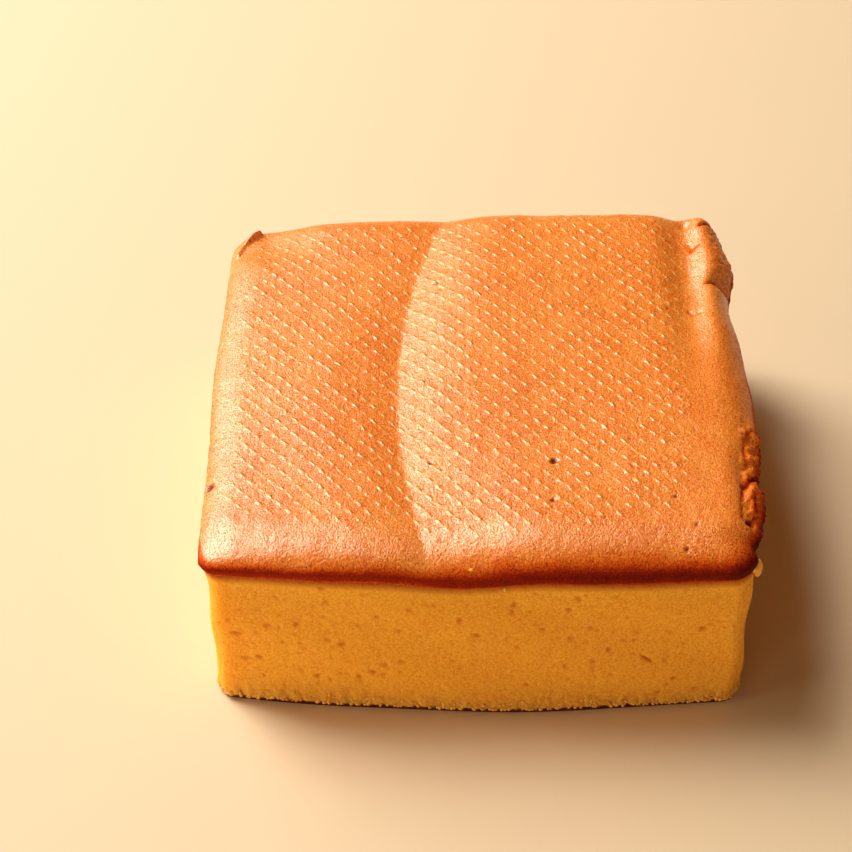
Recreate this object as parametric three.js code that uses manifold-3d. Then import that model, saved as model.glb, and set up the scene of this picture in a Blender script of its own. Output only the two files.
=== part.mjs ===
// A castella sponge cake, baked in a square tin and turned out whole.
// It is one piece: a tender crumb whose sides were peeled from the baking paper, under a browned
// top crust that stands out as a lip, sinks along a curved crease and is torn along its right edge.
// Millimetres, +Z up, origin at the middle of the base, the front side towards -Y.
import * as THREE from "three";
import { mergeVertices } from "three/addons/utils/BufferGeometryUtils.js";
import Module from "manifold-3d";

// Driving dimensions: half the tin's width, the heights of the crust's flat part and of its lip
const HALF = 80;
const CROWN = { front: 61.5, back: 63.5 };
const LIP = { front: 54, back: 56.5, flare: 11 };
const FOOT = { height: 3, round: 0.6 };

// The middle of the whole outline, which the lip, bows and tears shift from the tin's own middle
const CENTRE = { x: 0.7, y: -1.5 };

// The four sides of the crumb: half width, turn along the side, bow at the top and at the base,
// how far the crust's lip stands out, and how far in from the lip the crust starts to round down
const LEFT = { half: 79.4, turn: 1.2, bowTop: 1.6, bowBase: 0.8, lip: 1.4, round: 11 };
const RIGHT = { half: 78, turn: -0.2, bowTop: 3.3, bowBase: 1.4, lip: 2.6, round: 13 };
const FRONT = { half: 79.8, turn: 1.0, bowTop: 1.6, bowBase: 6.2, lip: 1.6, round: 17 };
const BACK = { half: 79.2, turn: 0, bowTop: 1.6, bowBase: 1.8, lip: 1.8, round: 12 };

// Each side swells and draws in again on its way down: height and phase of that wave
LEFT.wave = { height: 0.35, phase: 1.8 };
RIGHT.wave = { height: 0.55, phase: 4.9 };
FRONT.wave = { height: 0.3, phase: 0.5 };
BACK.wave = { height: 0.3, phase: 3 };
const SIDE_WAVE = { length: 4.6, turns: 7 };

// Radii of the upright corners, along the crust's lip and on the crumb below it
const LIP_CORNER = { frontLeft: 3, frontRight: 9, backRight: 11, backLeft: 12 };
const CRUMB_CORNER = 4;

// The crease that runs from back to front, the pillow to its right, and the dip it leaves in the lip:
// both slopes are steepest at the crease and ease out within their reach
const CREASE = { x: -25.3, bow: 12.3, y: -5, sharp: 1.2, reach: 24, ease: 1.8 };
const CREASE_DEPTH = { front: 1.6, middle: 2.1, back: 0.8 };
const PILLOW = { front: 1.4, back: 4.0, frontReach: 36, backReach: 24, ease: 2.2 };
const LIP_DIP = { x: -5, reach: 17, depth: 2.4 };

// The furrow along the right edge, and the rolled rim outside it, both fading towards the front
const FURROW = { x: 68, reach: 6.5, depth: 3.2, fadeFrom: 46, fadeTo: -20 };
const ROLL = { x: 75.5, reach: 5, height: 1.6 };

// Gentle unevenness: the crust sags to its sides and waves, and so does its lip
const SAG = { x: 14, depth: 1.5 };
const CROWN_WAVE = { height: 0.3, lengthX: 15, lengthY: 19, phase: 1 };
const LIP_WAVE = { height: 0.35, lengthX: 13, lengthY: 17 };

// Local shapes of the crust: middle, reach along X and Y, and height; under the lip they fade out
const BUMP_DEPTH = 8;
const BUMPS = [
  { x: -71, y: 72, reachX: 13, reachY: 13, height: -4.2 },
  { x: -74.3, y: 77.3, reachX: 2.6, reachY: 2.6, height: 4.4 },
  { x: -78, y: 72.5, reachX: 2.4, reachY: 3, height: 2.4 },
  { x: 73, y: 74, reachX: 5, reachY: 6, height: 1.2 },
  { x: 69, y: 73, reachX: 2.2, reachY: 2.2, height: -1.8 },
  { x: 79.5, y: 43, reachX: 4, reachY: 2.6, height: -2.8 },
  { x: 77.5, y: -52, reachX: 1.8, reachY: 13, height: -2.4 },
  { x: 81, y: -56, reachX: 2.6, reachY: 8, height: 1.6 },
  { x: -5, y: -70, reachX: 15, reachY: 24, height: -1.2 },
];

// Places where the torn right edge of the crust stands out or is broken away, and how deep that goes
const TEARS = [
  { y: 52, reach: 7, out: 1.5 },
  { y: 32, reach: 12, out: -2.9 },
  { y: -8, reach: 12, out: 1 },
  { y: -26, reach: 5, out: 0.9 },
  { y: -42, reach: 2.5, out: -0.6 },
  { y: -53, reach: 8, out: 1.3 },
  { y: -67, reach: 3, out: -1.8 },
];
const TEAR_DEPTH = 5;

// How finely the solid is divided: cells along the top, rows down the sides, and their spacing
const TOP_CELLS = 48;
const SIDE_ROWS = 12;
const ROUND_SHARE = 0.24;
const ROW_SPREAD = 1.35;
const BELOW_BASE = 1.5;

const mix = THREE.MathUtils.lerp;
const clamp = THREE.MathUtils.clamp;
const smooth = THREE.MathUtils.smoothstep;

// A bell curve of height 1, what is left of a slope at a distance, and how far back a place lies
const bell = (offset, reach) => Math.exp(-((offset / reach) ** 2));
const slopeLeft = (distance, reach, ease) => (1 - clamp(distance / reach, 0, 1)) ** ease;
const backward = (y) => clamp((y / HALF + 1) / 2, 0, 1);

// Height of the crust's outer edge: it rises to the back, and dips where the crease ends in front
function lipHeight(x, y) {
  const dip = LIP_DIP.depth * bell(x - LIP_DIP.x, LIP_DIP.reach) * smooth(-y, HALF / 2, HALF);
  const wave = LIP_WAVE.height * Math.sin(x / LIP_WAVE.lengthX + y / LIP_WAVE.lengthY);
  return mix(LIP.front, LIP.back, backward(y)) - dip + wave;
}

// What is left of the slope of the pillow at a distance from the crease
const pillowLeft = (distance, y) =>
  slopeLeft(distance, mix(PILLOW.frontReach, PILLOW.backReach, backward(y)), PILLOW.ease);

// Depth of the crease at a place, deepest halfway along it
function creaseFall(across, y) {
  const mean = mix(CREASE_DEPTH.front, CREASE_DEPTH.back, backward(y));
  const extra = CREASE_DEPTH.middle - (CREASE_DEPTH.front + CREASE_DEPTH.back) / 2;
  const depth = mean + extra * (1 - (y / HALF) ** 2);
  const away = Math.hypot(across, CREASE.sharp) - CREASE.sharp;
  return depth * (across < 0 ? slopeLeft(away, CREASE.reach, CREASE.ease) : pillowLeft(away, y));
}

// Rise of the pillow that starts at the crease and takes up the right of the crust
function pillowRise(across, y) {
  return mix(PILLOW.front, PILLOW.back, backward(y)) * (1 - pillowLeft(across, y));
}

// Height of the crust if it didn't round down at its edges
function crownHeight(x, y) {
  const across = x - CREASE.x - CREASE.bow * ((y - CREASE.y) / HALF) ** 2;
  const fade = smooth(y, FURROW.fadeTo, FURROW.fadeFrom);
  const furrow = FURROW.depth * bell(x - FURROW.x, FURROW.reach) * fade;
  const roll = ROLL.height * bell(x - ROLL.x, ROLL.reach) * fade;
  const sag = SAG.depth * ((x - SAG.x) / HALF) ** 4;
  const waveX = Math.sin(x / CROWN_WAVE.lengthX + CROWN_WAVE.phase);
  const wave = CROWN_WAVE.height * waveX * Math.sin(y / CROWN_WAVE.lengthY);
  const flat = mix(CROWN.front, CROWN.back, backward(y));
  return flat + pillowRise(across, y) - creaseFall(across, y) - furrow + roll - sag + wave;
}

const bumpHeight = (x, y) =>
  BUMPS.reduce((sum, b) => sum + b.height * bell(x - b.x, b.reachX) * bell(y - b.y, b.reachY), 0);

const tearOut = (y) => TEARS.reduce((sum, t) => sum + t.out * bell(y - t.y, t.reach), 0);

// Distance from the middle to a side, at a place along it (-1 to 1), a height and a depth under the lip
function reachOf(side, along, z, below) {
  const up = clamp(z / LIP.front, 0, 1);
  const bow = mix(side.bowBase, side.bowTop, up) * (1 - along ** 2);
  const flare = side.lip * (1 - clamp(below / LIP.flare, 0, 1)) ** 2;
  const foot = FOOT.round * (1 - clamp(z / FOOT.height, 0, 1)) ** 2;
  const torn = side === RIGHT ? tearOut(along * HALF) * (1 - clamp(below / TEAR_DEPTH, 0, 1)) : 0;
  const turned = z / SIDE_WAVE.length + SIDE_WAVE.turns * along + side.wave.phase;
  return side.half + side.turn * along + bow + flare - foot + torn + side.wave.height * Math.sin(turned);
}

// Sine spacing of the columns where the crust rounds down to its lip, even spacing inside
function spread(share, reach, round) {
  const inner = 1 - ROUND_SHARE;
  if (share < inner) return ((reach - round) * share) / inner;
  return reach - round + round * Math.sin(((share - inner) / ROUND_SHARE) * (Math.PI / 2));
}

// How much of its height over the lip the crust keeps: all inside, none at the edge
function crownShare(u, v) {
  const edgeU = clamp((Math.abs(u) - 1 + ROUND_SHARE) / ROUND_SHARE, 0, 1);
  const edgeV = clamp((Math.abs(v) - 1 + ROUND_SHARE) / ROUND_SHARE, 0, 1);
  const edge = Math.sqrt(edgeU ** 2 + edgeV ** 2 - (edgeU * edgeV) ** 2);
  return Math.cos(edge * (Math.PI / 2));
}

// Moves a point of a cube to the cake: u and v run from -1 to 1, down from 0 at the lip to 1 under the base
function cakePoint(u, v, down) {
  const sideX = u < 0 ? LEFT : RIGHT;
  const sideY = v < 0 ? FRONT : BACK;
  const lip = lipHeight(u * HALF, v * HALF);
  const below = (lip + BELOW_BASE) * down ** ROW_SPREAD;
  const z = lip - below;
  const reachX = reachOf(sideX, v, z, below);
  const reachY = reachOf(sideY, u, z, below);
  let x = spread(Math.abs(u), reachX, sideX.round);
  let y = spread(Math.abs(v), reachY, sideY.round);

  const corner = (v < 0 ? "front" : "back") + (u < 0 ? "Left" : "Right");
  const radius = mix(LIP_CORNER[corner], CRUMB_CORNER, clamp(below / LIP.flare, 0, 1));
  const a = (x - reachX + radius) / radius;
  const b = (y - reachY + radius) / radius;
  if (a > 0 && b > 0) {
    x = reachX - radius + radius * a * Math.sqrt(1 - (b * b) / 2);
    y = reachY - radius + radius * b * Math.sqrt(1 - (a * a) / 2);
  }
  x *= Math.sign(u);
  y *= Math.sign(v);
  const bump = bumpHeight(x, y) * (1 - clamp(below / BUMP_DEPTH, 0, 1));
  if (down > 0) return [x, y, z + bump];
  return [x, y, mix(lip, crownHeight(x, y), crownShare(u, v)) + bump];
}

// The cake's form: a finely divided cube whose every vertex is moved to its place on the cake
function cakeForm() {
  const cube = new THREE.BoxGeometry(2, 2, 1, TOP_CELLS, TOP_CELLS, SIDE_ROWS);
  const places = cube.attributes.position;
  for (let i = 0; i < places.count; i++) {
    const down = 0.5 - places.getZ(i);
    const [x, y, z] = cakePoint(places.getX(i), places.getY(i), down);
    places.setXYZ(i, x - CENTRE.x, y - CENTRE.y, z);
  }
  return cube;
}

// A closed solid of a three.js geometry, with its shared vertices merged
function solidOf(wasm, geometry) {
  geometry.deleteAttribute("normal");
  geometry.deleteAttribute("uv");
  const merged = mergeVertices(geometry, 1e-4);
  return new wasm.Manifold(
    new wasm.Mesh({
      numProp: 3,
      vertProperties: merged.attributes.position.array,
      triVerts: new Uint32Array(merged.index.array),
    }),
  );
}

// The base is flat where the cake stood on the tin's floor: what hangs lower is cut away
async function spongeCake() {
  const wasm = await Module();
  wasm.setup();
  const floor = new THREE.BoxGeometry(4 * HALF, 4 * HALF, HALF);
  floor.translate(0, 0, -HALF / 2);
  const cut = solidOf(wasm, cakeForm()).subtract(solidOf(wasm, floor)).getMesh();
  const geometry = new THREE.BufferGeometry();
  geometry.setAttribute("position", new THREE.BufferAttribute(cut.vertProperties, 3));
  geometry.setIndex(new THREE.BufferAttribute(cut.triVerts, 1));
  geometry.computeVertexNormals();
  const baked = new THREE.MeshStandardMaterial({ color: 0xd98a3c, roughness: 0.7, metalness: 0 });
  const mesh = new THREE.Mesh(geometry, baked);
  mesh.name = "sponge_cake";
  return mesh;
}

const cake = new THREE.Group();
cake.add(await spongeCake());

export default cake;
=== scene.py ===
import random
from math import cos, pi, radians, sin

import bmesh
import bpy
import numpy as np
from mathutils import Euler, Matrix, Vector, noise


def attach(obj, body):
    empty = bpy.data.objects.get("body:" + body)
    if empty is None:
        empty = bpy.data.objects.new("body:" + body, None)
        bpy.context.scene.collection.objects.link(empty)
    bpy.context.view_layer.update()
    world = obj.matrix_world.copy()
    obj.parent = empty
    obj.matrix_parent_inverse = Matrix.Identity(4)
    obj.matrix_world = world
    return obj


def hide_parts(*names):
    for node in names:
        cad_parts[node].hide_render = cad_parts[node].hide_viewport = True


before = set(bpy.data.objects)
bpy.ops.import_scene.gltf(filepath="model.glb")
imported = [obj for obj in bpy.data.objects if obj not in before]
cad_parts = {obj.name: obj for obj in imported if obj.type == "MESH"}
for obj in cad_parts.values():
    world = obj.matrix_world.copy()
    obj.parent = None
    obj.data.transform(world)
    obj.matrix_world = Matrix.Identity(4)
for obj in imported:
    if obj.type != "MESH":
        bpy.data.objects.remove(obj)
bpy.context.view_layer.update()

# The browned top crust: the skin of the sponge that set and coloured in the oven's heat, about 3 mm
# thick where its edge hangs over the peeled sides. One closed slab, made of a fine grid that is moved
# to the cake's form, with its edge turned under all round and its underside hidden in the crumb.
# Sizes are in millimetres, and places are from the middle of the cake's base, with the front at -Y.
MM = 0.001
HALF = 80
CROWN = {"front": 61.5, "back": 63.5}
LIP = {"front": 54, "back": 56.5, "flare": 11}
FOOT = {"height": 3, "round": 0.6}
CENTRE = {"x": 0.7, "y": -1.5}
LEFT = {"half": 79.4, "turn": 1.2, "bow_top": 1.6, "bow_base": 0.8, "lip": 1.4, "round": 11}
RIGHT = {"half": 78, "turn": -0.2, "bow_top": 3.3, "bow_base": 1.4, "lip": 2.6, "round": 13}
FRONT = {"half": 79.8, "turn": 1.0, "bow_top": 1.6, "bow_base": 6.2, "lip": 1.6, "round": 17}
BACK = {"half": 79.2, "turn": 0, "bow_top": 1.6, "bow_base": 1.8, "lip": 1.8, "round": 12}
LEFT["wave"], RIGHT["wave"], FRONT["wave"], BACK["wave"] = (0.35, 1.8), (0.55, 4.9), (0.3, 0.5), (0.3, 3)
SIDE_WAVE = {"length": 4.6, "turns": 7}
LIP_CORNER = {"front left": 3, "front right": 9, "back right": 11, "back left": 12}
CRUMB_CORNER = 4
CREASE = {"x": -25.3, "bow": 12.3, "y": -5, "sharp": 0.8, "reach": 24, "ease": 1.8}
CREASE_DEPTH = {"front": 1.6, "middle": 2.1, "back": 0.8}
PILLOW = {"front": 1.4, "back": 4.0, "front_reach": 36, "back_reach": 24, "ease": 2.2}
LIP_DIP = {"x": -5, "reach": 17, "depth": 2.4}
FURROW = {"x": 68, "reach": 6.5, "depth": 3.2, "fade_from": 46, "fade_to": -20}
ROLL = {"x": 75.5, "reach": 5, "height": 1.6}
SAG = {"x": 14, "depth": 1.5}
CROWN_WAVE = {"height": 0.3, "x": 15, "y": 19, "phase": 1}
LIP_WAVE = {"height": 0.35, "x": 13, "y": 17}
BUMP_DEPTH = 8
BUMPS = [  # middle, reach along X and Y, height
    (-71, 72, 13, 13, -4.2), (73, 74, 5, 6, 1.2), (69, 73, 2.2, 2.2, -1.8),
    (79.5, 43, 4, 2.6, -2.8), (77.5, -52, 1.8, 13, -1.0), (81, -56, 2.6, 8, 1.2), (-5, -70, 15, 24, -1.2),
]
TEARS = [  # place along the right side, reach and how far it stands out
    (52, 7, 1.5), (32, 12, -2.9), (-8, 12, 1), (-26, 5, 0.9), (-42, 2.5, -0.6), (-53, 8, 1.3), (-67, 3, -1.8),
]
TEAR_DEPTH = 5


def mix(low, high, share):
    return low + (high - low) * share


def bell(offset, reach):
    return np.exp(-((offset / reach) ** 2))


def smooth(value, low, high):
    t = np.clip((value - low) / (high - low), 0, 1)
    return t * t * (3 - 2 * t)


def backward(y):
    return np.clip((y / HALF + 1) / 2, 0, 1)


def lip_height(x, y):
    dip = LIP_DIP["depth"] * bell(x - LIP_DIP["x"], LIP_DIP["reach"]) * smooth(-y, HALF / 2, HALF)
    wave = LIP_WAVE["height"] * np.sin(x / LIP_WAVE["x"] + y / LIP_WAVE["y"])
    return mix(LIP["front"], LIP["back"], backward(y)) - dip + wave


def crease_across(x, y):
    return x - CREASE["x"] - CREASE["bow"] * ((y - CREASE["y"]) / HALF) ** 2


def crown_height(x, y):
    """Height of the crust if it didn't round down at its edges."""
    back = backward(y)
    across = crease_across(x, y)
    reach = mix(PILLOW["front_reach"], PILLOW["back_reach"], back)
    extra = CREASE_DEPTH["middle"] - (CREASE_DEPTH["front"] + CREASE_DEPTH["back"]) / 2
    depth = mix(CREASE_DEPTH["front"], CREASE_DEPTH["back"], back) + extra * (1 - (y / HALF) ** 2)
    away = np.hypot(across, CREASE["sharp"]) - CREASE["sharp"]
    left = (1 - np.clip(away / CREASE["reach"], 0, 1)) ** CREASE["ease"]
    right = (1 - np.clip(away / reach, 0, 1)) ** PILLOW["ease"]
    fall = depth * np.where(across < 0, left, right)
    rise = mix(PILLOW["front"], PILLOW["back"], back) * np.where(across < 0, 0, 1 - right)
    fade = smooth(y, FURROW["fade_to"], FURROW["fade_from"])
    furrow = FURROW["depth"] * bell(x - FURROW["x"], FURROW["reach"]) * fade
    roll = ROLL["height"] * bell(x - ROLL["x"], ROLL["reach"]) * fade
    sag = SAG["depth"] * ((x - SAG["x"]) / HALF) ** 4
    wave = CROWN_WAVE["height"] * np.sin(x / CROWN_WAVE["x"] + CROWN_WAVE["phase"])
    wave = wave * np.sin(y / CROWN_WAVE["y"])
    return mix(CROWN["front"], CROWN["back"], back) + rise - fall - furrow + roll - sag + wave


def bump_height(x, y):
    return sum(h * bell(x - bx, rx) * bell(y - by, ry) for bx, by, rx, ry, h in BUMPS)


def reach_of(side, along, z, below):
    """Distance from the middle to a side, at a place along it, a height and a depth under the lip."""
    up = np.clip(z / LIP["front"], 0, 1)
    bow = mix(side["bow_base"], side["bow_top"], up) * (1 - along**2)
    flare = side["lip"] * (1 - np.clip(below / LIP["flare"], 0, 1)) ** 2
    foot = FOOT["round"] * (1 - np.clip(z / FOOT["height"], 0, 1)) ** 2
    height, phase = side["wave"]
    wave = height * np.sin(z / SIDE_WAVE["length"] + SIDE_WAVE["turns"] * along + phase)
    torn = 0
    if side is RIGHT:
        out = sum(o * bell(along * HALF - ty, reach) for ty, reach, o in TEARS)
        torn = out * (1 - np.clip(below / TEAR_DEPTH, 0, 1))
    return side["half"] + side["turn"] * along + bow + flare - foot + torn + wave


def round_share(side):
    """Share of the columns that the rounding takes up, by the length of its arc."""
    drop = CROWN["front"] - LIP["front"]
    arc = pi / 2 * ((side["round"] ** 2 + drop**2) / 2) ** 0.5
    return arc / (arc + side["half"] + side["lip"] - side["round"])


def spread(share, reach, side):
    """Where a column or row lies, and how far through the rounding it is (0 to 1)."""
    inner = 1 - round_share(side)
    turn = np.clip((share - inner) / (1 - inner), 0, 1)
    flat = (reach - side["round"]) * np.minimum(share / inner, 1)
    return flat + side["round"] * np.sin(turn * pi / 2), turn


def cake_points(u, v, below, inset=0):
    """Places on the cake of points of a square, u and v from -1 to 1, and of its sides under the lip."""
    lip = lip_height(u * HALF, v * HALF)
    z = lip - below
    ends_x = [spread(np.abs(u), reach_of(side, v, z, below), side) for side in (LEFT, RIGHT)]
    ends_y = [spread(np.abs(v), reach_of(side, u, z, below), side) for side in (FRONT, BACK)]
    x, turn_x = (np.where(u < 0, left, right) for left, right in zip(*ends_x))
    y, turn_y = (np.where(v < 0, front, back) for front, back in zip(*ends_y))
    reach_x = np.where(u < 0, reach_of(LEFT, v, z, below), reach_of(RIGHT, v, z, below))
    reach_y = np.where(v < 0, reach_of(FRONT, u, z, below), reach_of(BACK, u, z, below))
    deep = np.clip(below / LIP["flare"], 0, 1)
    corner = np.where(
        v < 0,
        np.where(u < 0, LIP_CORNER["front left"], LIP_CORNER["front right"]),
        np.where(u < 0, LIP_CORNER["back left"], LIP_CORNER["back right"]),
    )
    radius = mix(corner, CRUMB_CORNER, deep)
    a = np.maximum((x - reach_x + radius) / radius, 0)
    b = np.maximum((y - reach_y + radius) / radius, 0)
    cut = (a > 0) & (b > 0)
    x = np.where(cut, reach_x - radius + radius * a * np.sqrt(1 - b * b / 2), x)
    y = np.where(cut, reach_y - radius + radius * b * np.sqrt(1 - a * a / 2), y)
    x = np.sign(u) * x * (1 - inset / HALF)
    y = np.sign(v) * y * (1 - inset / HALF)
    edge = np.sqrt(np.clip(turn_x**2 + turn_y**2 - (turn_x * turn_y) ** 2, 0, 1))
    top = mix(lip, crown_height(x, y), np.cos(edge * pi / 2))
    bump = bump_height(x, y) * (1 - np.clip(below / BUMP_DEPTH, 0, 1))
    return np.stack([x, y, np.where(below > 0, z, top) + bump], 1), edge


def grain(points, size, seed=0):
    """Smooth noise from -1 to 1 at each point, with lumps of about the given size in millimetres."""
    shift = Vector((seed * 17.3, seed * 5.9, seed * 9.1))
    return np.array([noise.noise(Vector(p) / size + shift) for p in points])


def near_path(x, y, path):
    """Distance in plan from each point to a broken line."""
    best = np.full(x.shape, 1e9)
    for (ax, ay), (bx, by) in zip(path, path[1:]):
        length = (bx - ax) ** 2 + (by - ay) ** 2
        t = np.clip(((x - ax) * (bx - ax) + (y - ay) * (by - ay)) / length, 0, 1)
        best = np.minimum(best, np.hypot(x - ax - t * (bx - ax), y - ay - t * (by - ay)))
    return best


CRUST_CELLS = (300, 304)
CRUST_EDGE = 2.8
TURN_UNDER = [  # depth under the lip and distance inwards of each ring
    (0.5, 0), (1.0, 0), (1.6, 0), (2.2, 0), (CRUST_EDGE, 0.12), (3.6, 3), (8, 9),
]
RAGGED_EDGE = 0.25
UNDERSIDE = 43
IMPRINT = {"cell_x": 5.8, "cell_y": 6.6, "height": 0.16}
IMPRINT_END = {"left": -77, "right": 68, "front": -77, "back": 79}
IMPRINT_FADE = {"left": 6, "right": 8, "front": 9, "back": 8}
IMPRINT_LEAN = 0.05
IMPRINT_BOW = 0.0024
ROUGH_CRUST = {"coarse": 0.16, "medium": 0.07, "fine": 0.1}
TORN = {"x": 76.6, "fade": 2.5, "back": (18, 34), "front": (-76, -66), "medium": 1.1, "fine": 0.6}
FLANK = {"x": 75.5, "fade": 2, "back": (38, 43), "rough": 0.5}
PITS = [  # middle, radius and depth
    (22.2, -44.3, 1.3, 1.0), (21.5, -60.7, 0.8, 0.7), (-14.3, -42.6, 0.75, 0.6), (-10.8, -45.7, 0.6, 0.4),
    (56.9, -59.1, 0.8, 0.6), (62.4, -70, 0.7, 0.6), (59.3, -77.8, 0.8, 0.6), (-13.5, 41.9, 0.8, 0.5),
    (-79.3, -48.7, 1.5, 0.9), (56, 32, 0.6, 0.4), (60, 27, 0.6, 0.4), (78.2, -66.9, 1.5, 1.6),
]
CRACKS = [  # points in plan, width and depth
    ([(83, -45.5), (80.6, -48.2), (79, -50.4), (77.6, -52.6)], 0.95, 1.5),
    ([(77.4, -53), (76.7, -57.1), (76.4, -61.3), (76.1, -66.5)], 0.45, 0.9),
    ([(81.2, -55), (81.3, -58.5), (80.6, -62), (79.4, -65)], 1.5, 0.9),
    ([(82.5, -26.3), (80.4, -30), (79, -36.8), (79.2, -43)], 0.45, 0.6),
    ([(74.4, 40.8), (76.3, 42.1), (78.2, 41.8), (82, 41.6)], 0.85, 1.5),
    ([(69.2, 62.4), (69.9, 58), (70.6, 59.4), (72.2, 60.6)], 0.6, 0.5),
    ([(66.9, 27.6), (68.6, 26.1), (70.3, 26.9)], 0.6, 0.7),
    ([(73.3, 70.5), (76, 71.8), (78, 71.8)], 0.7, 1.0),
    ([(40.6, 25.5), (39.6, 22.5), (39.9, 19)], 0.3, 0.3),
]
FOLD = [(-80.4, 66), (-79, 71), (-76.8, 75), (-74, 78)]
FOLD_RISE = {"low": 0.9, "high": 2.7, "width": 0.85, "from_y": 71, "to_y": 78}
SMALL_PITS = {"count": 46, "x": (35, 76), "y": (-76, 60), "radius": 0.45, "depth": (0.2, 0.4)}
BROWN = {"plain": 0.42, "coarse": 0.06, "wide": 0.04}
DARK_PATCH = {"x": 6, "y": -60, "reach": 11, "darker": 0.07}
DARK_CORNER = {"x": 79, "y": -76, "reach": 7, "darker": 0.15}
ROUND_ARC = 19
BAND = {"left": -6.6, "right": -10.5, "across": (-35, 20), "sharp": -0.4, "hidden": 2.4}
BAND_DARK = {"left": 0.89, "right": 0.96, "across": (-40, 60), "under": 0.12, "under_from": (2.0, 2.8)}

bm = bmesh.new()
bmesh.ops.create_grid(bm, x_segments=CRUST_CELLS[0], y_segments=CRUST_CELLS[1], size=1)
below_layer = bm.verts.layers.float.new("below")
inset_layer = bm.verts.layers.float.new("inset")
rim = [e for e in bm.edges if e.is_boundary]
for below, inset in TURN_UNDER:
    made = bmesh.ops.extrude_edge_only(bm, edges=rim)["geom"]
    for vert in (g for g in made if isinstance(g, bmesh.types.BMVert)):
        vert[below_layer], vert[inset_layer] = below, inset
    rim = [g for g in made if isinstance(g, bmesh.types.BMEdge) and g.is_boundary]
bmesh.ops.contextual_create(bm, geom=rim)
crust_mesh = bpy.data.meshes.new("crust")
square = np.array([v.co[:2] for v in bm.verts])
below = np.array([v[below_layer] for v in bm.verts])
inset = np.array([v[inset_layer] for v in bm.verts])
bm.to_mesh(crust_mesh)
bm.free()

plan = np.append(square * HALF, below[:, None] * 0, axis=1)
ragged = 0.5 * grain(plan, 9, 11) + 0.4 * grain(plan, 2.5, 12)
ragged_below = below * (1 + RAGGED_EDGE * ragged * (below < 3))
points, edge = cake_points(square[:, 0], square[:, 1], ragged_below, inset)
points[below == TURN_UNDER[-1][0], 2] = UNDERSIDE


def set_points(mesh, points):
    moved = (points - [CENTRE["x"], CENTRE["y"], 0]) * MM
    mesh.vertices.foreach_set("co", moved.astype(np.float32).ravel())
    mesh.update()


def normals_of(mesh):
    found = np.empty(len(mesh.vertices) * 3, np.float32)
    mesh.vertex_normals.foreach_get("vector", found)
    return found.reshape(-1, 3)


def set_attribute(mesh, name, values):
    layer = mesh.attributes.new(name, "FLOAT", "POINT")
    layer.data.foreach_set("value", np.asarray(values, np.float32))


set_points(crust_mesh, points)
x, y = points[:, 0], points[:, 1]
outer = below < 3
coarse, medium, fine = grain(points, 7), grain(points, 2.4, 1), grain(points, 0.9, 2)
sway_x = x + 0.5 * grain(points, 22, 3) + 0.5 * grain(points, 6, 9)
sway_y = y + 0.5 * grain(points, 22, 4) + 0.5 * grain(points, 6, 10)
wave_a = 0.5 + 0.5 * np.cos(2 * pi * (sway_x / IMPRINT["cell_x"] + sway_y / IMPRINT["cell_y"]))
wave_b = 0.5 + 0.5 * np.cos(2 * pi * (sway_x / IMPRINT["cell_x"] - sway_y / IMPRINT["cell_y"]))
imprinted = smooth(x - IMPRINT_END["left"], 0, IMPRINT_FADE["left"])
imprinted *= smooth(IMPRINT_END["right"] + IMPRINT_LEAN * y - x, 0, IMPRINT_FADE["right"])
imprinted *= smooth(IMPRINT_END["back"] - y, 0, IMPRINT_FADE["back"])
imprinted *= smooth(y - IMPRINT_END["front"] - IMPRINT_BOW * x * x, 0, IMPRINT_FADE["front"])
imprinted *= mix(0.35, 1, smooth(medium + coarse, -0.7, 0.3))
stamp = wave_a**9 * wave_b * imprinted
torn = smooth(x - TORN["x"] - coarse, 0, TORN["fade"])
torn *= smooth(-y, *TORN["back"]) * smooth(y, *TORN["front"]) * outer
flank = smooth(x - FLANK["x"] - 0.6 * coarse, 0, FLANK["fade"]) * smooth(y, *FLANK["back"]) * outer
pitted = np.zeros(len(x))
rng = random.Random(3)
tiny = []
for _ in range(SMALL_PITS["count"]):
    at_x, at_y = rng.uniform(*SMALL_PITS["x"]), rng.uniform(*SMALL_PITS["y"])
    tiny.append((at_x, at_y, SMALL_PITS["radius"], rng.uniform(*SMALL_PITS["depth"])))
for px, py, radius, depth in PITS + tiny:
    hole = np.clip(1 - (np.hypot(x - px, y - py) / (radius * (1 + 0.35 * medium))) ** 2, 0, 1)
    pitted = np.maximum(pitted, hole * depth)
cracked = np.zeros(len(x))
for path, width, depth in CRACKS:
    cracked = np.maximum(cracked, depth * bell(near_path(x, y, path), width * (1 + 0.6 * fine)))
cracked *= smooth(medium + coarse, -0.9, 0.1)
risen = smooth(y, FOLD_RISE["from_y"], FOLD_RISE["to_y"])
fold = bell(near_path(x, y, FOLD), FOLD_RISE["width"])
fold *= mix(FOLD_RISE["low"], FOLD_RISE["high"], risen) * outer
relief = IMPRINT["height"] * stamp
relief += ROUGH_CRUST["coarse"] * coarse + ROUGH_CRUST["medium"] * medium + ROUGH_CRUST["fine"] * fine
relief += (torn + FLANK["rough"] * flank) * (TORN["medium"] * medium + TORN["fine"] * fine)
relief -= (pitted + cracked) * outer
points += normals_of(crust_mesh) * (relief * (below < 2.5))[:, None]
points[:, 2] += fold * (1 + 0.3 * medium)
set_points(crust_mesh, points)

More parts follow.
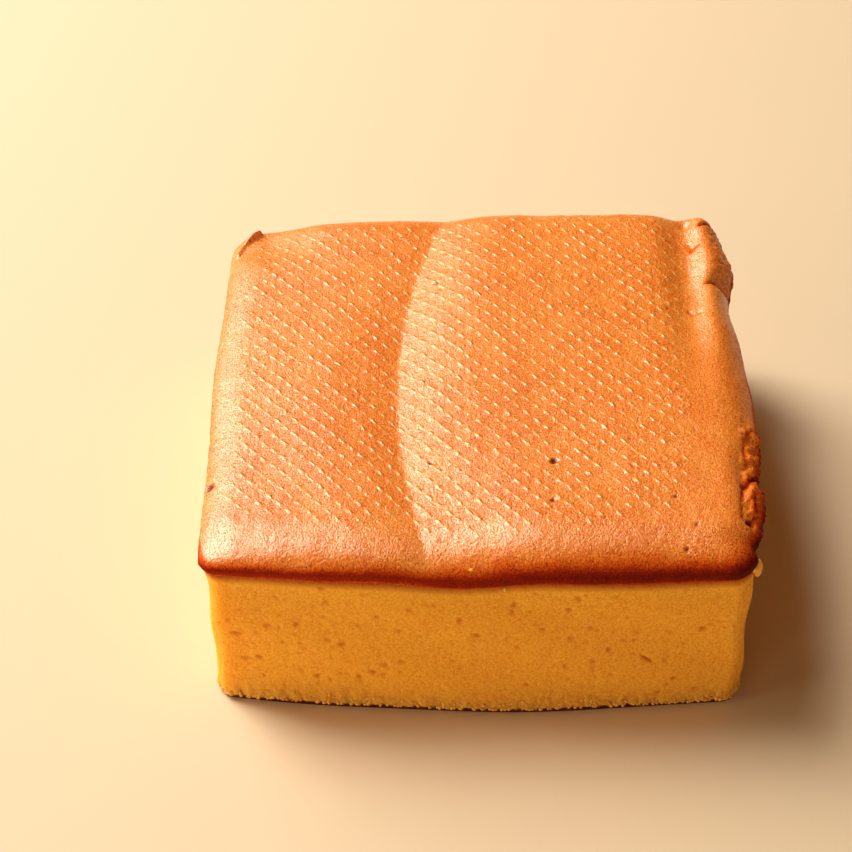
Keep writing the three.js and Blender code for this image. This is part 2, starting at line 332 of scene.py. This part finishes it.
to_lip = (1 - edge) * ROUND_ARC
brown_and_shade = BROWN["plain"] + BROWN["coarse"] * coarse + BROWN["wide"] * grain(points, 30, 5)
from_patch = np.hypot(x - DARK_PATCH["x"], y - DARK_PATCH["y"])
brown_and_shade += DARK_PATCH["darker"] * bell(from_patch, DARK_PATCH["reach"]) * (1 + coarse)
browned_from = mix(BAND["left"], BAND["right"], smooth(x, *BAND["across"]) * (y < 0))
hidden = np.maximum(smooth(x, 70, 77) * smooth(y, -72, -62), smooth(-x, 72, 79) * smooth(y, -74, -66))
to_band = -to_lip - below + 0.6 * coarse + 0.4 * medium - BAND["hidden"] * hidden
darkest = mix(BAND_DARK["left"], BAND_DARK["right"], smooth(x, *BAND_DARK["across"]))
darkest = darkest - BAND_DARK["under"] * smooth(below + 0.3 * medium, *BAND_DARK["under_from"])
brown_and_shade = mix(brown_and_shade, darkest, smooth(to_band, browned_from, BAND["sharp"]) * (edge > 0))
from_corner = np.hypot(x - DARK_CORNER["x"], y - DARK_CORNER["y"])
brown_and_shade += DARK_CORNER["darker"] * bell(from_corner, DARK_CORNER["reach"])
# The cracks are coloured darker brown here: painted shade in them.
brown_and_shade += 0.05 * torn + 0.03 * flank + 0.42 * np.clip(cracked, 0, 1) + 0.06 * np.clip(fold, 0, 1)
set_attribute(crust_mesh, "browning_and_shade", np.clip(brown_and_shade, 0, 1))
# The hole mask colours the pits dark red: painted shade in them.
set_attribute(crust_mesh, "hole", np.clip(pitted * 2.4, 0, 1))
set_attribute(crust_mesh, "imprint", imprinted)
dulled = smooth(brown_and_shade, 0.47, 0.64) + 0.9 * torn + 0.2 * flank + 0.4 * smooth(x, 79, 83)
dulled += np.clip(cracked + pitted, 0, 1)
set_attribute(crust_mesh, "dulled", np.clip(dulled, 0, 1))
corners = np.empty(len(crust_mesh.loops), np.int32)
crust_mesh.loops.foreach_get("vertex_index", corners)
lattice = np.stack([sway_x / IMPRINT["cell_x"], sway_y / IMPRINT["cell_y"]], 1)[corners]
crust_mesh.uv_layers.new(name="lattice").uv.foreach_set("vector", lattice.astype(np.float32).ravel())
crust_mesh.polygons.foreach_set("use_smooth", np.ones(len(crust_mesh.polygons), bool))
crust = bpy.data.objects.new("crust", crust_mesh)
bpy.context.collection.objects.link(crust)


def linear(colour):
    """An sRGB hex colour as linear red, green, blue and alpha."""
    parts = [int(colour[i : i + 2], 16) / 255 for i in (1, 3, 5)]
    return [c / 12.92 if c <= 0.04045 else ((c + 0.055) / 1.055) ** 2.4 for c in parts] + [1]


def put(tree, kind, inputs=None, **settings):
    """Adds a node with its settings; inputs are values, or outputs of other nodes to link."""
    node = tree.nodes.new(kind)
    for name, value in settings.items():
        setattr(node, name, value)
    for name, value in (inputs or {}).items():
        if isinstance(value, bpy.types.NodeSocket):
            tree.links.new(value, node.inputs[name])
        else:
            node.inputs[name].default_value = value
    return node


# Baked sponge skin: a satin brown film of set egg and sugar, finely grained, darkest and dull at the lip
skin = bpy.data.materials.new("baked_sponge_skin")
skin.use_nodes = True
tree = skin.node_tree
shader = tree.nodes["Principled BSDF"]
spot = put(tree, "ShaderNodeTexCoord").outputs["Object"]
browning_and_shade = put(tree, "ShaderNodeAttribute", attribute_name="browning_and_shade").outputs["Fac"]
hole = put(tree, "ShaderNodeAttribute", attribute_name="hole").outputs["Fac"]
imprint = put(tree, "ShaderNodeAttribute", attribute_name="imprint").outputs["Fac"]
dulled = put(tree, "ShaderNodeAttribute", attribute_name="dulled").outputs["Fac"]
GRAIN = 0.46  # width of the finest grain, which is drawn out from front to back
DRAWN_OUT = (1, 0.75, 0.75)
PEBBLE = 0.75  # rounded bumps among the grain
FLECK = 1.2  # spacing of the browned specks
PATCH = 1.3  # patches where the imprint took more or less
NET = 2.4  # cells between the hairline wrinkles
lattice_map = put(tree, "ShaderNodeUVMap", uv_map="lattice").outputs[0]
grid = put(tree, "ShaderNodeSeparateXYZ", {"Vector": lattice_map})
# The marks of the imprint are two crossed waves, the first drawn much narrower than the second.
ridge = imprint
for operation, power in (("ADD", 11), ("SUBTRACT", 1.1)):
    phase = put(tree, "ShaderNodeMath", {0: grid.outputs["X"], 1: grid.outputs["Y"]}, operation=operation)
    angle = put(tree, "ShaderNodeMath", {0: phase.outputs[0], 1: 2 * pi}, operation="MULTIPLY")
    wave = put(tree, "ShaderNodeMath", {0: angle.outputs[0]}, operation="COSINE")
    lifted = put(tree, "ShaderNodeMath", {0: wave.outputs[0], 1: 0.5, 2: 0.5}, operation="MULTIPLY_ADD")
    peak = put(tree, "ShaderNodeMath", {0: lifted.outputs[0], 1: power}, operation="POWER")
    ridge = put(tree, "ShaderNodeMath", {0: ridge, 1: peak.outputs[0]}, operation="MULTIPLY").outputs[0]
streaked = put(tree, "ShaderNodeVectorMath", {0: spot, 1: DRAWN_OUT}, operation="MULTIPLY").outputs[0]
speckle = put(tree, "ShaderNodeTexNoise", {
    "Vector": streaked, "Scale": 1 / (GRAIN * MM), "Detail": 3, "Roughness": 0.62,
})
pebbles = put(tree, "ShaderNodeTexVoronoi", {"Vector": streaked, "Scale": 1 / (PEBBLE * MM)})
patchy = put(tree, "ShaderNodeTexNoise", {"Vector": spot, "Scale": 1 / (PATCH * MM), "Detail": 1})
share = put(tree, "ShaderNodeMapRange", {
    "Value": patchy.outputs["Fac"], "From Min": 0.36, "From Max": 0.56, "To Min": 0.45, "To Max": 1.3,
})
raised = put(tree, "ShaderNodeMath", {0: ridge, 1: share.outputs[0]}, operation="MULTIPLY").outputs[0]
flecks = put(tree, "ShaderNodeTexVoronoi", {"Vector": spot, "Scale": 1 / (FLECK * MM)})
near = put(tree, "ShaderNodeMapRange", {
    "Value": flecks.outputs["Distance"], "From Min": 0.08, "From Max": 0.22, "To Min": 0.35, "To Max": 0,
})
few = put(tree, "ShaderNodeMath", {0: flecks.outputs["Color"], 1: 0.5}, operation="GREATER_THAN")
fleck = put(tree, "ShaderNodeMath", {0: near.outputs[0], 1: few.outputs[0]}, operation="MULTIPLY")
net = put(tree, "ShaderNodeTexVoronoi", {"Vector": spot, "Scale": 1 / (NET * MM)}, feature="DISTANCE_TO_EDGE")
hairline = put(tree, "ShaderNodeMapRange", {
    "Value": net.outputs["Distance"], "From Max": 0.07, "To Min": 1, "To Max": 0,
})
tone = put(tree, "ShaderNodeMath", {0: speckle.outputs["Fac"], 1: -1.3, 2: 0.65}, operation="MULTIPLY_ADD")
# The imprint's ridges are coloured paler: partly their own paler skin, partly a painted highlight on them.
lighter = put(tree, "ShaderNodeMath", {0: raised, 1: -0.32, 2: tone.outputs[0]}, operation="MULTIPLY_ADD")
lined = put(tree, "ShaderNodeMath", {
    0: hairline.outputs[0], 1: 0.05, 2: lighter.outputs[0],
}, operation="MULTIPLY_ADD")
dotted = put(tree, "ShaderNodeMath", {0: lined.outputs[0], 1: fleck.outputs[0]}, operation="ADD")
calm = put(tree, "ShaderNodeMapRange", {
    "Value": browning_and_shade, "From Min": 0.5, "From Max": 0.85, "To Min": 1, "To Max": 0.3,
})
shade = put(tree, "ShaderNodeMath", {
    0: dotted.outputs[0], 1: calm.outputs[0], 2: browning_and_shade,
}, operation="MULTIPLY_ADD")
ramp = put(tree, "ShaderNodeValToRGB", {"Fac": shade.outputs[0]})
steps = [(0.0, "#ffc878"), (0.42, "#ee8620"), (0.65, "#d25a14"), (0.85, "#962203"), (1.0, "#580c02")]
for number, (position, colour) in enumerate(steps):
    element = ramp.color_ramp.elements[number] if number < 2 else ramp.color_ramp.elements.new(position)
    element.position, element.color = position, linear(colour)
# The pits are mixed towards dark red: painted shade in the holes.
pit_shaded = put(tree, "ShaderNodeMix", {
    "Factor": hole, 6: ramp.outputs["Color"], 7: linear("#8a2608"),
}, data_type="RGBA")
tree.links.new(pit_shaded.outputs[2], shader.inputs["Base Color"])
dull = put(tree, "ShaderNodeMapRange", {"Value": dulled, "To Min": 0.5, "To Max": 0.85})
tree.links.new(dull.outputs[0], shader.inputs["Roughness"])
matt = put(tree, "ShaderNodeMath", {0: fleck.outputs[0], 1: 2.5, 2: dulled}, operation="MULTIPLY_ADD")
glossy = put(tree, "ShaderNodeMapRange", {"Value": matt.outputs[0], "To Min": 1, "To Max": 0})
satin = put(tree, "ShaderNodeMapRange", {
    "Value": speckle.outputs["Fac"], "From Min": 0.36, "From Max": 0.56, "To Min": 0.35, "To Max": 1,
})
glaze = put(tree, "ShaderNodeMath", {0: glossy.outputs[0], 1: satin.outputs[0]}, operation="MULTIPLY")
tree.links.new(glaze.outputs[0], shader.inputs["Coat Weight"])
shader.inputs["Coat Roughness"].default_value = 0.3
shader.inputs["Coat IOR"].default_value = 2.0
shader.inputs["IOR"].default_value = 1.45
shader.inputs["Specular IOR Level"].default_value = 0.12
shader.inputs["Subsurface Weight"].default_value = 0.05
shader.inputs["Subsurface Radius"].default_value = (1.0, 0.4, 0.15)
shader.inputs["Subsurface Scale"].default_value = 1.2 * MM
pebbled = put(tree, "ShaderNodeMath", {
    0: pebbles.outputs["Distance"], 1: -0.4, 2: speckle.outputs["Fac"],
}, operation="MULTIPLY_ADD")
grained = put(tree, "ShaderNodeMath", {0: raised, 1: 1.3, 2: pebbled.outputs[0]}, operation="MULTIPLY_ADD")
netted = put(tree, "ShaderNodeMath", {
    0: hairline.outputs[0], 1: -0.15, 2: grained.outputs[0],
}, operation="MULTIPLY_ADD")
uneven = put(tree, "ShaderNodeMath", {0: netted.outputs[0], 1: calm.outputs[0]}, operation="MULTIPLY")
bump = put(tree, "ShaderNodeBump", {"Height": uneven.outputs[0], "Distance": 0.31 * MM, "Strength": 1})
tree.links.new(bump.outputs["Normal"], shader.inputs["Normal"])
film = put(tree, "ShaderNodeBump", {"Height": uneven.outputs[0], "Distance": 0.13 * MM, "Strength": 1})
tree.links.new(film.outputs["Normal"], shader.inputs["Coat Normal"])
crust_mesh.materials.append(skin)
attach(crust, "root")
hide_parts("sponge_cake")

# The crumb: the tender yellow inside of the sponge, seen on the four sides where the baking paper
# was peeled away, with its pores and a dark foot, partly a browned skin and partly painted shadow
# where it meets the floor. One closed body, made of a drum with a fine wall that is moved to the
# cake's sides, with pores stamped into the wall.
CRUMB_ROUND = 1056
CRUMB_ROWS = 84
CRUMB_TOP = 46
CRUMB_WALL = 52
TOP_INSETS = [9.0, 3.0]
TUCK = {"depth": 0.4, "from": -0.4, "to": 2.4}
TUFTS = {"from": -9, "full": -1.2, "medium": 0.45, "fine": 0.9}
BASE_SKIN_AND_SHADOW = {"height": 1.5, "soft": 0.3, "inset": 0.6}
ROUGH_CRUMB = {"coarse": 0.12, "medium": 0.1, "fine": 0.14}
PORES = {"count": 3600, "radius": 0.45, "wider": 0.7, "rarity": 6, "depth": (0.2, 0.5)}
PORE_FULL = 0.6
POCKETS = [  # place on the front side, half length and half height, tilt and depth
    (-69, 28.1, 2.2, 1.2, 0, 0.5), (-60.2, 32.1, 1.4, 1.1, 0, 0.4), (-67.6, 17.8, 1.4, 1.2, 0, 0.4),
    (-63.9, 18.7, 1.6, 1.0, -0.3, 0.5), (32.3, 33.4, 1.2, 0.9, 0, 0.4), (38.2, 15.4, 1.0, 0.8, 0, 0.4),
    (41.8, 28.4, 1.0, 0.8, 0, 0.4), (45, 28.3, 0.9, 0.8, 0, 0.4), (48.4, 20.8, 3.0, 0.6, -0.7, 0.8),
]

bm = bmesh.new()
bmesh.ops.create_cone(bm, cap_ends=True, segments=CRUMB_ROUND, radius1=1, radius2=1, depth=2)
upright = [e for e in bm.edges if abs(e.verts[0].co.z - e.verts[1].co.z) > 1]
bmesh.ops.subdivide_edges(bm, edges=upright, cuts=CRUMB_ROWS)
drum = np.array([v.co[:] for v in bm.verts])
crumb_mesh = bpy.data.meshes.new("crumb")
bm.to_mesh(crumb_mesh)
bm.free()

column_at = np.arctan2(drum[:, 1], drum[:, 0]) / (2 * pi) * CRUMB_ROUND + CRUMB_ROUND / 8
column = np.round(column_at).astype(int) % CRUMB_ROUND
row = np.round((1 - drum[:, 2]) / 2 * (CRUMB_ROWS + 1)).astype(int)
side, along = np.divmod(column / (CRUMB_ROUND / 4), 1)
along = along * 2 - 1
u = np.select([side == 0, side == 1, side == 2], [1, -along, -1], along)
v = np.select([side == 0, side == 1, side == 2], [along, 1, -along], -1)
lip = lip_height(u * HALF, v * HALF)
share = np.clip((row - 2) / (CRUMB_ROWS - 1), 0, 1)
below = mix(CRUST_EDGE - 1, lip, share)
tuck = TUCK["depth"] * (1 - smooth(below, CRUST_EDGE + TUCK["from"], CRUST_EDGE + TUCK["to"]))
inset = np.select([row == 0, row == 1], TOP_INSETS, tuck)
points, edge = cake_points(u, v, below, inset)
points[row == 0, 2] = CRUMB_TOP
points[row == 1, 2] = lip[row == 1] - CRUST_EDGE
points[row == CRUMB_ROWS + 1, 2] = 0
set_points(crumb_mesh, points)

dent = np.zeros((CRUMB_ROWS + 2, CRUMB_ROUND))
step_round = 4 * 2 * HALF / CRUMB_ROUND
step_down = CRUMB_WALL / CRUMB_ROWS


def stamp_pore(at_row, at_column, long, high, tilt, depth):
    """Presses a bowl into the wall: half length, half height, tilt and depth in millimetres."""
    reach = int(max(long, high) / step_down) + 2
    rows = np.arange(max(3, int(at_row) - reach), min(CRUMB_ROWS, int(at_row) + reach) + 1)
    columns = np.arange(int(at_column) - reach, int(at_column) + reach + 1)
    down = (rows[:, None] - at_row) * step_down
    across = (columns[None, :] - at_column) * step_round
    far_long = (across * cos(tilt) - down * sin(tilt)) / long
    far_high = (across * sin(tilt) + down * cos(tilt)) / high
    bowl = np.clip(1 - far_long**2 - far_high**2, 0, 1) * depth
    target = np.ix_(rows, columns % CRUMB_ROUND)
    dent[target] = np.maximum(dent[target], bowl)


rng = random.Random(7)
for _ in range(PORES["count"]):
    radius = PORES["radius"] + PORES["wider"] * rng.random() ** PORES["rarity"]
    long = radius * rng.uniform(1, 1.5)
    place_at = rng.uniform(3, CRUMB_ROWS), rng.uniform(0, CRUMB_ROUND)
    stamp_pore(*place_at, long, radius, rng.uniform(0, pi), radius * rng.uniform(*PORES["depth"]))
for px, pz, long, high, tilt, depth in POCKETS:
    at_column = (3 + (px / HALF + 1) / 2) * CRUMB_ROUND / 4
    stamp_pore(2 + (CRUMB_WALL - pz) / step_down, at_column, long, high, tilt, depth)

height = points[:, 2]
coarse, medium, fine = grain(points, 6, 6), grain(points, 2, 7), grain(points, 0.9, 8)
footing = smooth(-height, TUFTS["from"], TUFTS["full"])
skin_top = BASE_SKIN_AND_SHADOW["height"] + 0.9 * fine + 0.7 * medium
base_skin_and_shadow = smooth(skin_top - height, -BASE_SKIN_AND_SHADOW["soft"], BASE_SKIN_AND_SHADOW["soft"])
relief = -dent[row, column]
relief += ROUGH_CRUMB["coarse"] * coarse + ROUGH_CRUMB["medium"] * medium + ROUGH_CRUMB["fine"] * fine
relief += footing * (TUFTS["medium"] * medium + TUFTS["fine"] * fine) - BASE_SKIN_AND_SHADOW["inset"] * base_skin_and_shadow
points += normals_of(crumb_mesh) * (relief * ((row > 2) & (row < CRUMB_ROWS + 1)))[:, None]
points[:, 2] = np.maximum(points[:, 2], 0)
set_points(crumb_mesh, points)
set_attribute(crumb_mesh, "under_crust", lip - CRUST_EDGE - points[:, 2])
set_attribute(crumb_mesh, "base_skin_and_shadow", base_skin_and_shadow)
set_attribute(crumb_mesh, "pore", np.clip(dent[row, column] / PORE_FULL, 0, 1))
crumb_mesh.polygons.foreach_set("use_smooth", [len(p.vertices) == 4 for p in crumb_mesh.polygons])
crumb = bpy.data.objects.new("crumb", crumb_mesh)
bpy.context.collection.objects.link(crumb)

# Fresh sponge crumb: egg-yellow, matt and a little translucent, so light glows through its corners
sponge = bpy.data.materials.new("fresh_sponge_crumb")
sponge.use_nodes = True
tree = sponge.node_tree
shader = tree.nodes["Principled BSDF"]
spot = put(tree, "ShaderNodeTexCoord").outputs["Object"]
pore = put(tree, "ShaderNodeAttribute", attribute_name="pore").outputs["Fac"]
under = put(tree, "ShaderNodeAttribute", attribute_name="under_crust").outputs["Fac"]
MOTTLE = 0.7  # darker and paler patches of crumb
CELL = 0.9  # pinholes of the baked foam
mottle = put(tree, "ShaderNodeTexNoise", {"Vector": spot, "Scale": 1 / (MOTTLE * MM), "Detail": 5})
cells = put(tree, "ShaderNodeTexVoronoi", {"Vector": spot, "Scale": 1 / (CELL * MM)})
spread_out = put(tree, "ShaderNodeMapRange", {
    "Value": mottle.outputs["Fac"], "From Min": 0.22, "From Max": 0.78,
})
body = put(tree, "ShaderNodeMix", {
    "Factor": spread_out.outputs[0], 6: linear("#e48e20"), 7: linear("#ffc648"),
}, data_type="RGBA")
pinhole = put(tree, "ShaderNodeMapRange", {
    "Value": cells.outputs["Distance"], "From Min": 0.1, "From Max": 0.4, "To Min": 0.35, "To Max": 0,
})
# Pores and pinholes are coloured a deeper orange: painted shade in them.
pore_shade = put(tree, "ShaderNodeMath", {0: pinhole.outputs[0], 1: pore}, operation="MAXIMUM").outputs[0]
deep = put(tree, "ShaderNodeMix", {
    "Factor": pore_shade, 6: body.outputs[2], 7: linear("#cc6a12"),
}, data_type="RGBA")
# The crumb turns dark red-brown within about 3 mm under the crust's edge, with a ragged limit.
fray = put(tree, "ShaderNodeMath", {0: mottle.outputs["Fac"], 1: -2.0, 2: under}, operation="MULTIPLY_ADD")
under_lip_darkening = put(tree, "ShaderNodeMapRange", {
    "Value": fray.outputs[0], "From Min": -0.8, "From Max": 2.4, "To Min": 1, "To Max": 0,
})
darkened_under_lip = put(tree, "ShaderNodeMix", {
    "Factor": under_lip_darkening.outputs[0], 6: deep.outputs[2], 7: linear("#a43a06"),
}, data_type="RGBA")
level = put(tree, "ShaderNodeSeparateXYZ", {"Vector": spot}).outputs["Z"]
low = put(tree, "ShaderNodeMapRange", {
    "Value": level, "From Min": 1 * MM, "From Max": 11 * MM, "To Min": 0.6, "To Max": 0,
})
pale = put(tree, "ShaderNodeMix", {
    "Factor": low.outputs[0], 6: darkened_under_lip.outputs[2], 7: linear("#d89440"),
}, data_type="RGBA")
# The foot is coloured dark brown: its browned base skin, and a painted contact shadow along the floor.
base = put(tree, "ShaderNodeAttribute", attribute_name="base_skin_and_shadow").outputs["Fac"]
foot = put(tree, "ShaderNodeMix", {
    "Factor": base, 6: pale.outputs[2], 7: linear("#6a2008"),
}, data_type="RGBA")
tree.links.new(foot.outputs[2], shader.inputs["Base Color"])
shader.inputs["Roughness"].default_value = 0.8
shader.inputs["IOR"].default_value = 1.4
shader.inputs["Specular IOR Level"].default_value = 0.3
shader.inputs["Subsurface Weight"].default_value = 0.6
shader.inputs["Subsurface Radius"].default_value = (1.0, 0.6, 0.2)
shader.inputs["Subsurface Scale"].default_value = 12 * MM
bump = put(tree, "ShaderNodeBump", {
    "Height": cells.outputs["Distance"], "Distance": 0.3 * MM, "Strength": 0.45,
})
tree.links.new(bump.outputs["Normal"], shader.inputs["Normal"])
crumb_mesh.materials.append(sponge)
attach(crumb, "root")
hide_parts("sponge_cake")

# Loose crumbs and flakes: bits of sponge that clung to the lip, the base and the right front corner
# when the paper was peeled off. One mesh of small closed lumps, each a ball pulled uneven.
CLINGING = {"count": 1400, "height": 1.2, "rise": 3.4, "size": (0.4, 0.8), "inset": 0.4}
FINE_FROM = 1
LUMPS = [  # middle and half sizes
    (7.6, -82.2, 48.2, 0.6, 0.4, 0.9), (8.1, -82.9, 52.6, 0.5, 0.4, 0.4),
    (-1.9, -81.5, 55.6, 0.8, 0.5, 0.4), (23.7, -82.9, 53.2, 0.9, 0.5, 0.6),
    (33.1, -82.6, 54.4, 0.5, 0.4, 0.5), (57.7, -78.4, 57.8, 0.6, 0.6, 1.1),
    (57.1, -80.8, 55.9, 0.5, 0.4, 0.5), (57.7, -81.9, 52, 0.5, 0.4, 0.5), (79.3, -74.2, 50.9, 0.7, 0.5, 1.0),
    (80.4, -75.5, 50.2, 1.4, 0.8, 3.3), (78.9, -78.2, 52.3, 0.8, 0.5, 1.1),
]
bm = bmesh.new()
rng = random.Random(11)
clinging = []
for _ in range(CLINGING["count"]):
    along, ahead = rng.uniform(-0.99, 0.99), rng.choice([(1, 0), (-1, 0), (0, 1), (0, -1)])
    u, v = (ahead[0] or along), (ahead[1] or along)
    pz = CLINGING["height"] + CLINGING["rise"] * rng.random() ** 2
    size = rng.uniform(*CLINGING["size"])
    lip = lip_height(np.array([u * HALF]), np.array([v * HALF]))
    (found,), _ = cake_points(np.array([u]), np.array([v]), lip - pz, CLINGING["inset"])
    clinging.append((found[0], found[1], pz, size, size, size * rng.uniform(0.8, 1.2)))
for px, py, pz, rx, ry, rz in LUMPS + clinging:
    fineness = 2 if rz > FINE_FROM else 1
    lump = bmesh.ops.create_icosphere(bm, subdivisions=fineness, radius=1)["verts"]
    for vert in lump:
        wobble = 1 + 0.35 * noise.noise(vert.co * 1.6 + Vector((px, py, pz)))
        at = Vector((vert.co.x * rx, vert.co.y * ry, vert.co.z * rz)) * wobble
        vert.co = (at + Vector((px - CENTRE["x"], py - CENTRE["y"], pz))) * MM
flake_mesh = bpy.data.meshes.new("loose_crumbs")
bm.to_mesh(flake_mesh)
bm.free()
flake_mesh.polygons.foreach_set("use_smooth", np.ones(len(flake_mesh.polygons), bool))
flakes = bpy.data.objects.new("loose_crumbs", flake_mesh)
bpy.context.collection.objects.link(flakes)

# Dry crumb: the same sponge in thin bits, paler because more light passes through
dry = bpy.data.materials.new("dry_sponge_crumb")
dry.use_nodes = True
shader = dry.node_tree.nodes["Principled BSDF"]
shader.inputs["Base Color"].default_value = linear("#f0b04c")
shader.inputs["Roughness"].default_value = 0.8
shader.inputs["Subsurface Weight"].default_value = 0.2
shader.inputs["Subsurface Radius"].default_value = (1.0, 0.5, 0.2)
shader.inputs["Subsurface Scale"].default_value = 0.5 * MM
flake_mesh.materials.append(dry)
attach(flakes, "root")

# The surface that the cake stands on: a plain pale matt sheet in place of a table, made of one flat
# face, wide enough to fill the view. It only catches the shadow and throws some light back.
FLOOR_HALF = 3000
bm = bmesh.new()
bmesh.ops.create_grid(bm, x_segments=1, y_segments=1, size=FLOOR_HALF * MM)
floor_mesh = bpy.data.meshes.new("floor")
bm.to_mesh(floor_mesh)
bm.free()
floor = bpy.data.objects.new("floor", floor_mesh)
bpy.context.collection.objects.link(floor)
paper = bpy.data.materials.new("pale_matt_board")
paper.use_nodes = True
paper.node_tree.nodes["Principled BSDF"].inputs["Base Color"].default_value = linear("#dccab0")
paper.node_tree.nodes["Principled BSDF"].inputs["Roughness"].default_value = 0.7
floor_mesh.materials.append(paper)

# The light: seven soft lamps. Two windows and a skylight stand behind to the left, one lamp hangs
# above and one stands low at the left, a weak fill comes from the front and a weaker glow from the
# right, as from a room with pale walls. Places and sizes are in metres, powers in watts.
LIGHTS = [  # name, place, width, height, power and colour
    ("window", (-1.6, 0.9, 1.1), 1.0, 0.9, 22, "#fff4e0"),
    ("far window", (-1.1, 1.6, 1.1), 1.0, 0.9, 12, "#fff4e0"),
    ("skylight", (-1.0, 0.7, 1.6), 0.9, 0.9, 30, "#fff4e0"),
    ("ceiling", (-0.62, 0.28, 1.65), 0.5, 0.5, 9, "#fff0dc"),
    ("side", (-1.8, -0.5, 0.35), 0.9, 0.5, 14, "#ffecc4"),
    ("fill", (-1.1, -1.85, 0.35), 1.4, 0.6, 14, "#ffdaa8"),
    ("bounce", (1.6, -0.3, 0.7), 1.2, 0.8, 4, "#ffb878"),
]
for name, at, width, tall, power, colour in LIGHTS:
    lamp = bpy.data.lights.new(name, "AREA")
    lamp.shape = "RECTANGLE"
    lamp.size, lamp.size_y, lamp.energy, lamp.color = width, tall, power, linear(colour)[:3]
    holder = bpy.data.objects.new(name, lamp)
    holder.location = at
    holder.rotation_euler = (Vector((0, 0, 0.03)) - Vector(at)).to_track_quat("-Z", "Y").to_euler()
    bpy.context.collection.objects.link(holder)
world = bpy.data.worlds.new("room")
world.use_nodes = True
world.node_tree.nodes["Background"].inputs["Color"].default_value = linear("#ffc488")
world.node_tree.nodes["Background"].inputs["Strength"].default_value = 0.05
bpy.context.scene.world = world
bpy.context.scene.view_settings.view_transform = "Standard"

# The camera: at the photograph's height and distance, looking down at the front side. Its focal length
# and the middle of its view are in pixels of a square picture, the rest is in millimetres.
PICTURE = 852
SENSOR = 36
FOCAL_PIXELS = 2220
AXIS_PIXEL = 478.6
DISTANCE = 703
LOOK_DOWN = radians(41)
AIM = (-CENTRE["x"], -CENTRE["y"], 38.9)
camera_data = bpy.data.cameras.new("camera")
camera_data.sensor_width = SENSOR
camera_data.lens = SENSOR * FOCAL_PIXELS / PICTURE
camera_data.shift_x = -(AXIS_PIXEL - PICTURE / 2) / PICTURE
camera = bpy.data.objects.new("camera", camera_data)
away = Vector((0, -cos(LOOK_DOWN), sin(LOOK_DOWN))) * DISTANCE
camera.location = (Vector(AIM) + away) * MM
camera.rotation_euler = Euler((pi / 2 - LOOK_DOWN, 0, 0))
bpy.context.collection.objects.link(camera)
bpy.context.scene.camera = camera
